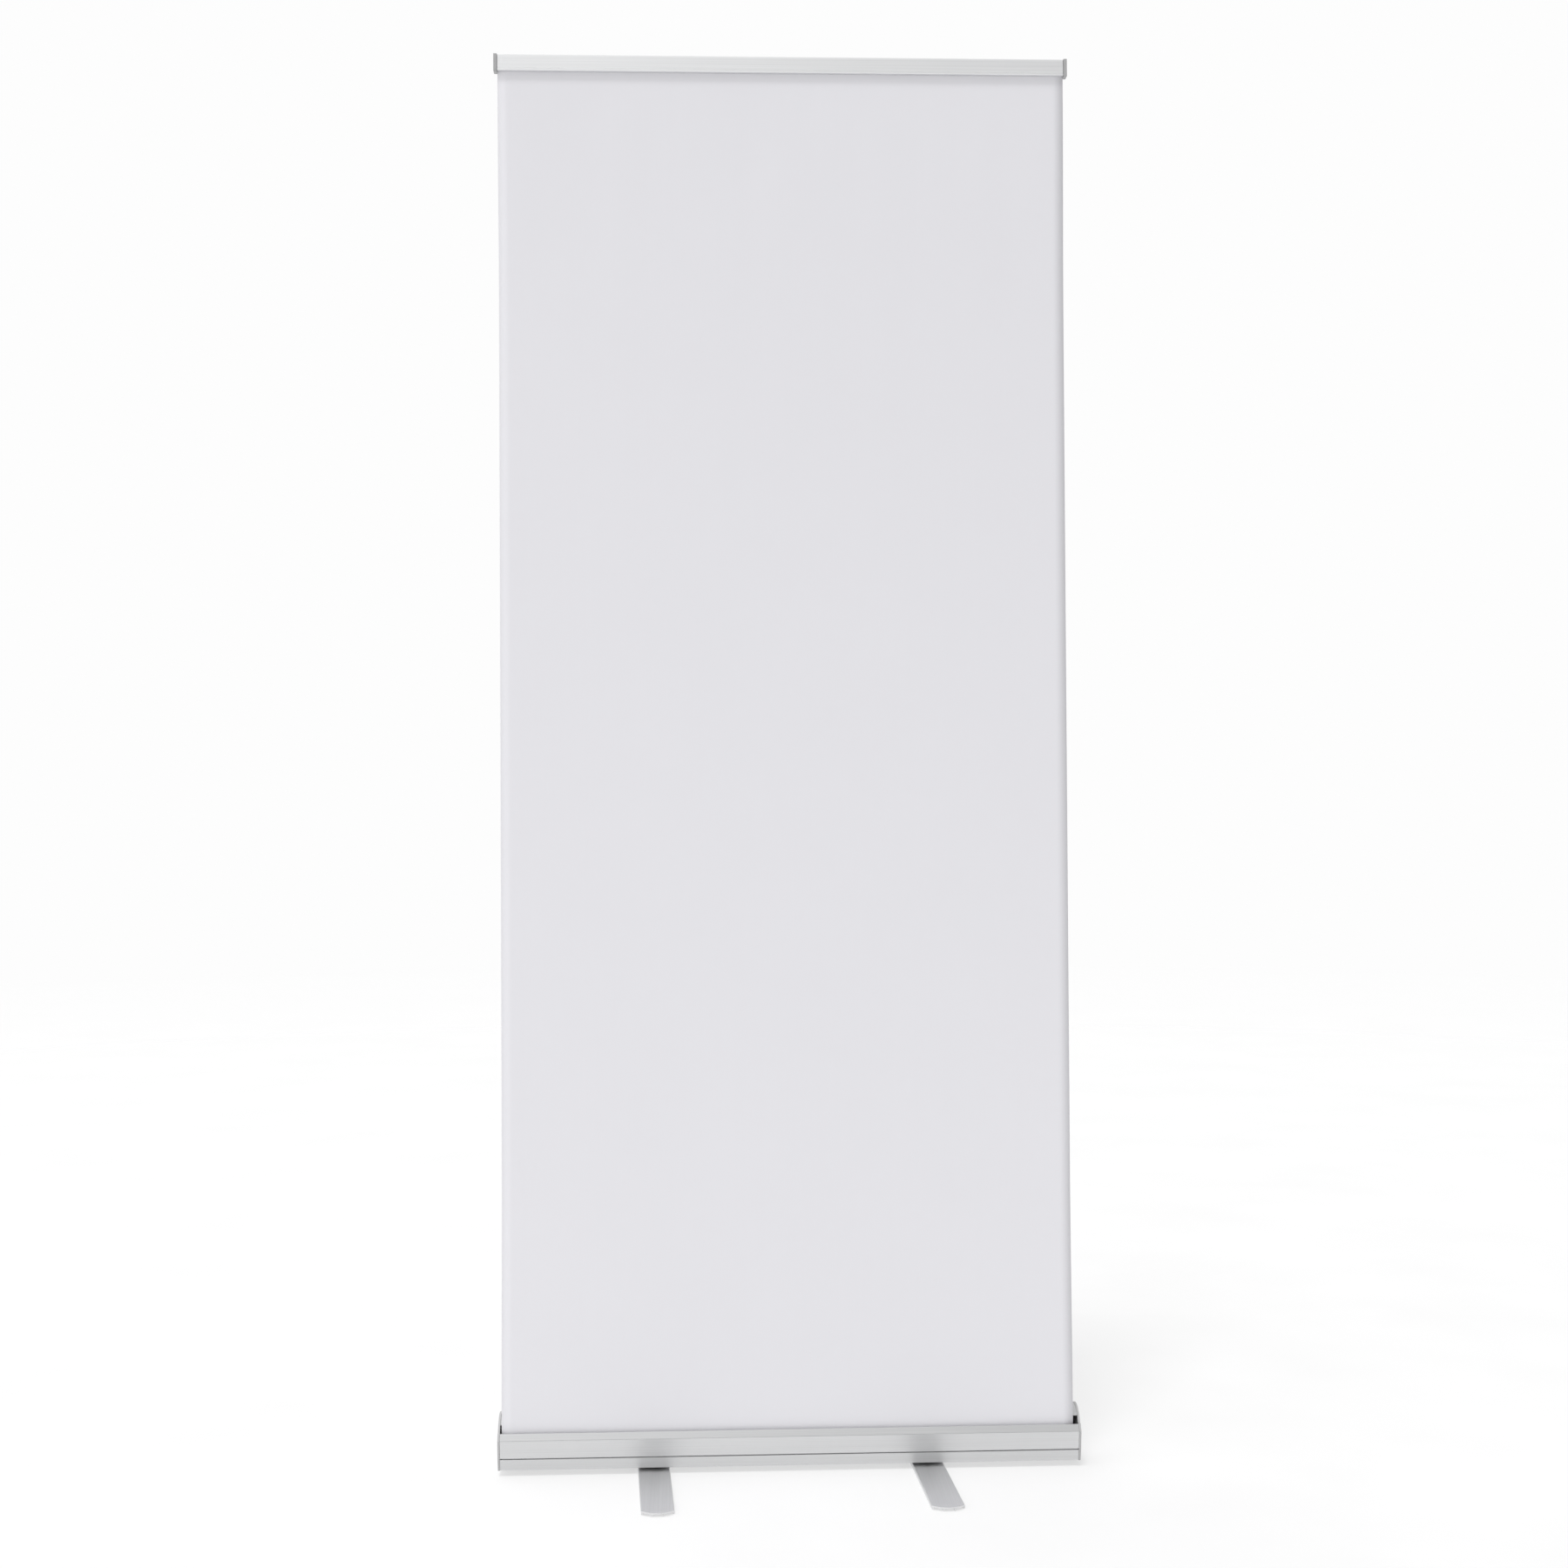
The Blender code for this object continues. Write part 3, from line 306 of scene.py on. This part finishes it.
# ---------------------------------------------------------------- CAD pieces that stay
def dress(node, material, edge):
    """Give a CAD piece its finish, weld its seams and break its sharp edges where a width is given."""
    item = NODES[node]
    for item_slot in item.material_slots:
        item_slot.material = material
    weld = item.modifiers.new("weld", "WELD")
    weld.merge_threshold = WELD_REACH
    if edge:
        flat = item.modifiers.new("flat", "DECIMATE")
        flat.decimate_type = "DISSOLVE"
        flat.angle_limit = math.radians(FLAT_ANGLE)
        bevel = item.modifiers.new("edge", "BEVEL")
        bevel.width = edge
        bevel.segments = 2
        bevel.limit_method = "ANGLE"
        bevel.angle_limit = math.radians(SHARP_ANGLE)
        bevel.use_clamp_overlap = True
        bevel.harden_normals = True
        bevel.miter_outer = "MITER_ARC"


FINISHES = {
    "cassette_shell": (CASSETTE_METAL, SHELL_EDGE),
    "front_cover": (COVER_METAL, 0.0),
    "rail_front_jaw": (RAIL_METAL, RAIL_EDGE),
    "rail_back_jaw": (RAIL_METAL, RAIL_EDGE),
    "pole_socket": (POLE_METAL, 0.0),
    "spring_axle": (ZINC, 0.0),
    "spring_collar": (BLACK_PLASTIC, 0.0),
    "torsion_spring": (SPRING_STEEL, 0.0),
    "idle_pin": (ZINC, 0.0),
    "roller_tube": (ROLLER_METAL, 0.0),
    "pole_lower": (POLE_METAL, 0.0),
    "pole_middle": (POLE_METAL, 0.0),
    "pole_upper": (POLE_METAL, 0.0),
    "pole_ferrule_lower": (ZINC, 0.0),
    "pole_ferrule_upper": (ZINC, 0.0),
    "pole_foot_plug": (BLACK_PLASTIC, 0.0),
    "pole_head": (BLACK_PLASTIC, HEAD_EDGE),
    "pole_cord": (BRAID, 0.0),
}
for side in ("left", "right"):
    FINISHES[f"end_cap_{side}"] = (CAP_PLASTIC, CAP_EDGE)
    FINISHES[f"rail_cap_{side}"] = (RAIL_CAP_PLASTIC, RAIL_EDGE)
    FINISHES[f"roller_plug_{side}"] = (BLACK_PLASTIC, 0.0)
    FINISHES[f"foot_{side}"] = (FOOT_METAL, FOOT_EDGE)
    FINISHES[f"foot_bolt_{side}"] = (ZINC, 0.0)
    FINISHES[f"foot_nut_{side}"] = (ZINC, 0.0)
    FINISHES[f"foot_washer_{side}"] = (BLACK_PLASTIC, 0.0)
    for number in (1, 2, 3):
        FINISHES[f"cap_screw_{side}_{number}"] = (ZINC, 0.0)
for node, (material, edge) in FINISHES.items():
    dress(node, material, edge)


# ---------------------------------------------------------------- the banner
def smooth(share):
    """Ease from 0 to 1."""
    share = min(1.0, max(0.0, share))
    return share * share * (3 - 2 * share)


def ripple(x, waves):
    """How far small waves across the film lift it at x."""
    return sum(height * math.sin(x * turn + shift) for height, turn, shift in waves)


def banner_sheet():
    """The film from the roller up into the clamp, with its own curl, pull marks and drawn-in sides."""
    points = np.array([v.co for v in NODES["banner"].data.vertices])
    low, high = points.min(0), points.max(0)
    foot = points[points[:, 2] < low[2] + END_BAND].mean(0)
    head = points[points[:, 2] > high[2] - END_BAND].mean(0)
    up = Vector((0.0, head[1] - foot[1], head[2] - foot[2])).normalized()
    front = Vector((0.0, -up.z, up.y))
    middle, width = (low[0] + high[0]) / 2, high[0] - low[0]
    start = Vector((middle, foot[1] + (low[2] - foot[2]) * up.y / up.z, low[2]))
    length = (high[2] - low[2]) / up.z
    bm = bmesh.new()
    uv = bm.loops.layers.uv.new("sheet")
    grid = []
    for row in range(FILM_ROWS + 1):
        rise = length * row / FILM_ROWS
        above_slot = rise - SLOT_RISE
        below_clamp = length - CLAMP_DROP - rise
        bell = smooth(above_slot / FREE_OVER) * smooth(below_clamp / FREE_OVER)
        grip = math.exp(-below_clamp / GRIP_FADE) * smooth(below_clamp / WAVES_START)
        pull = math.exp(-above_slot / PULL_FADE) * smooth(above_slot / WAVES_START)
        verts = []
        for column in range(FILM_COLUMNS + 1):
            edge = 2.0 * column / FILM_COLUMNS - 1.0
            x = width / 2 * edge * (1.0 - bell * DRAWN_IN / (width / 2))
            off = bell * (CURL_FORWARD * (1 - edge * edge) - CURL_BACK * edge * edge)
            off += grip * ripple(x, GRIP_WAVES) + pull * ripple(x, PULL_WAVES)
            point = start + up * rise + front * off
            point.x += x
            verts.append((bm.verts.new(point), (width / 2 * (1 + edge), rise)))
        grid.append(verts)
    for below, above in zip(grid, grid[1:]):
        for column in range(FILM_COLUMNS):
            corners = (below[column], below[column + 1], above[column + 1], above[column])
            face = bm.faces.new([vert for vert, place in corners])
            face.smooth = True
            for loop, (vert, place) in zip(face.loops, corners):
                loop[uv].uv = place
    mesh = bpy.data.meshes.new("banner_sheet")
    bm.to_mesh(mesh)
    bm.free()
    mesh.materials.append(FILM_WHITE)
    mesh.materials.append(FILM_BACK)
    item = bpy.data.objects.new("banner_sheet", mesh)
    bpy.context.scene.collection.objects.link(item)
    thick = item.modifiers.new("film", "SOLIDIFY")
    thick.thickness = FILM
    thick.offset = 0.0
    thick.material_offset = 1
    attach(item, "rail")
    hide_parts("banner")
    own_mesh(item)


def banner_roll():
    """The turns that stay on the roller, wound from one strip of film."""
    low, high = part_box("banner_roll")
    centre_y, centre_z = (low.y + high.y) / 2, (low.z + high.z) / 2
    outer = (high.z - low.z) / 2
    inner = outer - ROLL_DEPTH
    pitch = (outer - inner - ROLL_STRIP) / ROLL_TURNS
    count = int(ROLL_TURNS * ROLL_STEPS)
    inside = [
        (math.pi - math.tau * step / ROLL_STEPS, inner + pitch * (ROLL_TURNS - step / ROLL_STEPS))
        for step in range(count + 1)
    ]
    ring = [(angle, radius + ROLL_STRIP) for angle, radius in inside] + inside[::-1]
    bm = bmesh.new()
    ends = []
    for x in (low.x, high.x):
        ends.append([
            bm.verts.new((x, centre_y + radius * math.cos(angle), centre_z - radius * math.sin(angle)))
            for angle, radius in ring
        ])
    total = len(ring)
    for index in range(total):
        after = (index + 1) % total
        face = bm.faces.new((ends[0][index], ends[0][after], ends[1][after], ends[1][index]))
        face.smooth = True
    for end in ends:
        for index in range(count):
            bm.faces.new((end[index], end[index + 1], end[total - 2 - index], end[total - 1 - index]))
    bmesh.ops.recalc_face_normals(bm, faces=bm.faces)
    uv = bm.loops.layers.uv.new("sheet")
    for face in bm.faces:
        for loop in face.loops:
            place = loop.vert.co
            loop[uv].uv = (place.x, math.atan2(place.z - centre_z, place.y - centre_y) * outer)
    mesh = bpy.data.meshes.new("banner_roll_wound")
    bm.to_mesh(mesh)
    bm.free()
    mesh.set_sharp_from_angle(angle=math.radians(SHARP_ANGLE))
    mesh.materials.append(FILM_WHITE)
    item = bpy.data.objects.new("banner_roll_wound", mesh)
    bpy.context.scene.collection.objects.link(item)
    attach(item, "roller")
    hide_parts("banner_roll")


banner_roll()
banner_sheet()


# ---------------------------------------------------------------- floor, light and camera
def floor():
    """A wide pale floor that fades out where the backdrop takes over."""
    bm = bmesh.new()
    bmesh.ops.create_circle(bm, cap_ends=True, cap_tris=False, segments=96, radius=FLOOR_RADIUS)
    mesh = bpy.data.meshes.new("studio_floor")
    bm.to_mesh(mesh)
    bm.free()
    item = bpy.data.objects.new("studio_floor", mesh)
    bpy.context.scene.collection.objects.link(item)
    item.location = (0.0, 0.0, -FLOOR_DROP)
    finish = Finish("studio_floor", Specular_IOR_Level=0.1)
    finish.set(finish.shader, {"Emission Color": grey(1.0), "Emission Strength": FLOOR_GLOW})
    mottle = finish.noise(3.0, 2.0)
    shade = finish.mix(finish.remap(mottle, 0.0, 1.0), grey(0.35), grey(0.37))
    reach = finish.add("ShaderNodeVectorMath", {"operation": "LENGTH"})
    finish.feed(reach.inputs[0], finish.place)
    clear = finish.add("ShaderNodeBsdfTransparent")
    fade = finish.add("ShaderNodeMixShader")
    gone = finish.remap(reach.outputs["Value"], 0.0, 1.0, FLOOR_FADE_START, FLOOR_FADE_STOP)
    for socket, value in zip(fade.inputs, (gone, finish.shader.outputs[0], clear.outputs[0])):
        finish.feed(socket, value)
    finish.feed(finish.nodes["Material Output"].inputs["Surface"], fade.outputs[0])
    mesh.materials.append(finish.wear(shade, FLOOR_ROUGHNESS))


def hang(light, aim, place=(0.0, 0.0, 0.0)):
    """Put a light in the scene, shining along aim."""
    item = bpy.data.objects.new(light.name, light)
    item.location = place
    item.rotation_mode = "QUATERNION"
    item.rotation_quaternion = aim.to_track_quat("-Z", "Y")
    bpy.context.scene.collection.objects.link(item)
    return item


def softbox(name, place, aim, size, power):
    """A rectangular soft light."""
    light = bpy.data.lights.new(name, "AREA")
    light.shape = "RECTANGLE"
    light.size, light.size_y = size
    light.energy = power
    hang(light, Vector(aim) - Vector(place), place)


def steep_key(name, towards, strength, spread):
    """A far, soft light from high up in front, which throws the rail's and the lip's short shadows."""
    light = bpy.data.lights.new(name, "SUN")
    light.energy = strength
    light.angle = math.radians(spread)
    hang(light, -Vector(towards)).visible_glossy = False


def map_range(nodes, start, stop, low, high):
    """A node that spreads start to stop over low to high."""
    node = nodes.new("ShaderNodeMapRange")
    for name, value in (("From Min", start), ("From Max", stop), ("To Min", low), ("To Max", high)):
        node.inputs[name].default_value = value
    return node


def studio():
    """A white surround, brighter overhead and to the left, that shows as plain near-white."""
    world = bpy.data.worlds.new("studio")
    bpy.context.scene.world = world
    world.use_nodes = True
    nodes, links = world.node_tree.nodes, world.node_tree.links
    nodes.clear()
    place = nodes.new("ShaderNodeTexCoord")
    parts = nodes.new("ShaderNodeSeparateXYZ")
    falloff = map_range(nodes, -WORLD_TURN, WORLD_TURN, 1.0 + WORLD_FALLOFF, 1.0 - WORLD_FALLOFF)
    level = nodes.new("ShaderNodeMath")
    level.operation = "MULTIPLY"
    ramp = map_range(nodes, 0.0, 1.0, WORLD_LOW, WORLD_HIGH)
    lit = nodes.new("ShaderNodeBackground")
    seen = nodes.new("ShaderNodeBackground")
    seen.inputs["Color"].default_value = grey(BACKDROP)
    path = nodes.new("ShaderNodeLightPath")
    mix = nodes.new("ShaderNodeMixShader")
    out = nodes.new("ShaderNodeOutputWorld")
    links.new(place.outputs["Generated"], parts.inputs[0])
    links.new(parts.outputs["Z"], ramp.inputs["Value"])
    links.new(parts.outputs["X"], falloff.inputs["Value"])
    links.new(ramp.outputs[0], level.inputs[0])
    links.new(falloff.outputs[0], level.inputs[1])
    links.new(level.outputs[0], lit.inputs["Strength"])
    links.new(path.outputs["Is Camera Ray"], mix.inputs[0])
    links.new(lit.outputs[0], mix.inputs[1])
    links.new(seen.outputs[0], mix.inputs[2])
    links.new(mix.outputs[0], out.inputs[0])


def place_camera():
    """The camera that the scene is seen through."""
    camera = bpy.data.cameras.new("camera")
    camera.sensor_width = SENSOR_WIDTH
    camera.lens = LENS
    item = bpy.data.objects.new("camera", camera)
    item.location = CAMERA_PLACE
    item.rotation_mode = "QUATERNION"
    upright = Vector(CAMERA_AIM).to_track_quat("-Z", "Y")
    item.rotation_quaternion = upright @ Quaternion((0.0, 0.0, 1.0), CAMERA_ROLL)
    bpy.context.scene.collection.objects.link(item)
    bpy.context.scene.camera = item


floor()
studio()
steep_key("key", (-0.12, -0.36, 0.92), 1.25, 14.0)
softbox("left_fill", (-3.4, -1.8, 2.0), (0.0, 0.0, 1.0), (1.6, 2.2), 1.5)
bpy.context.scene.view_settings.view_transform = "Standard"
place_camera()
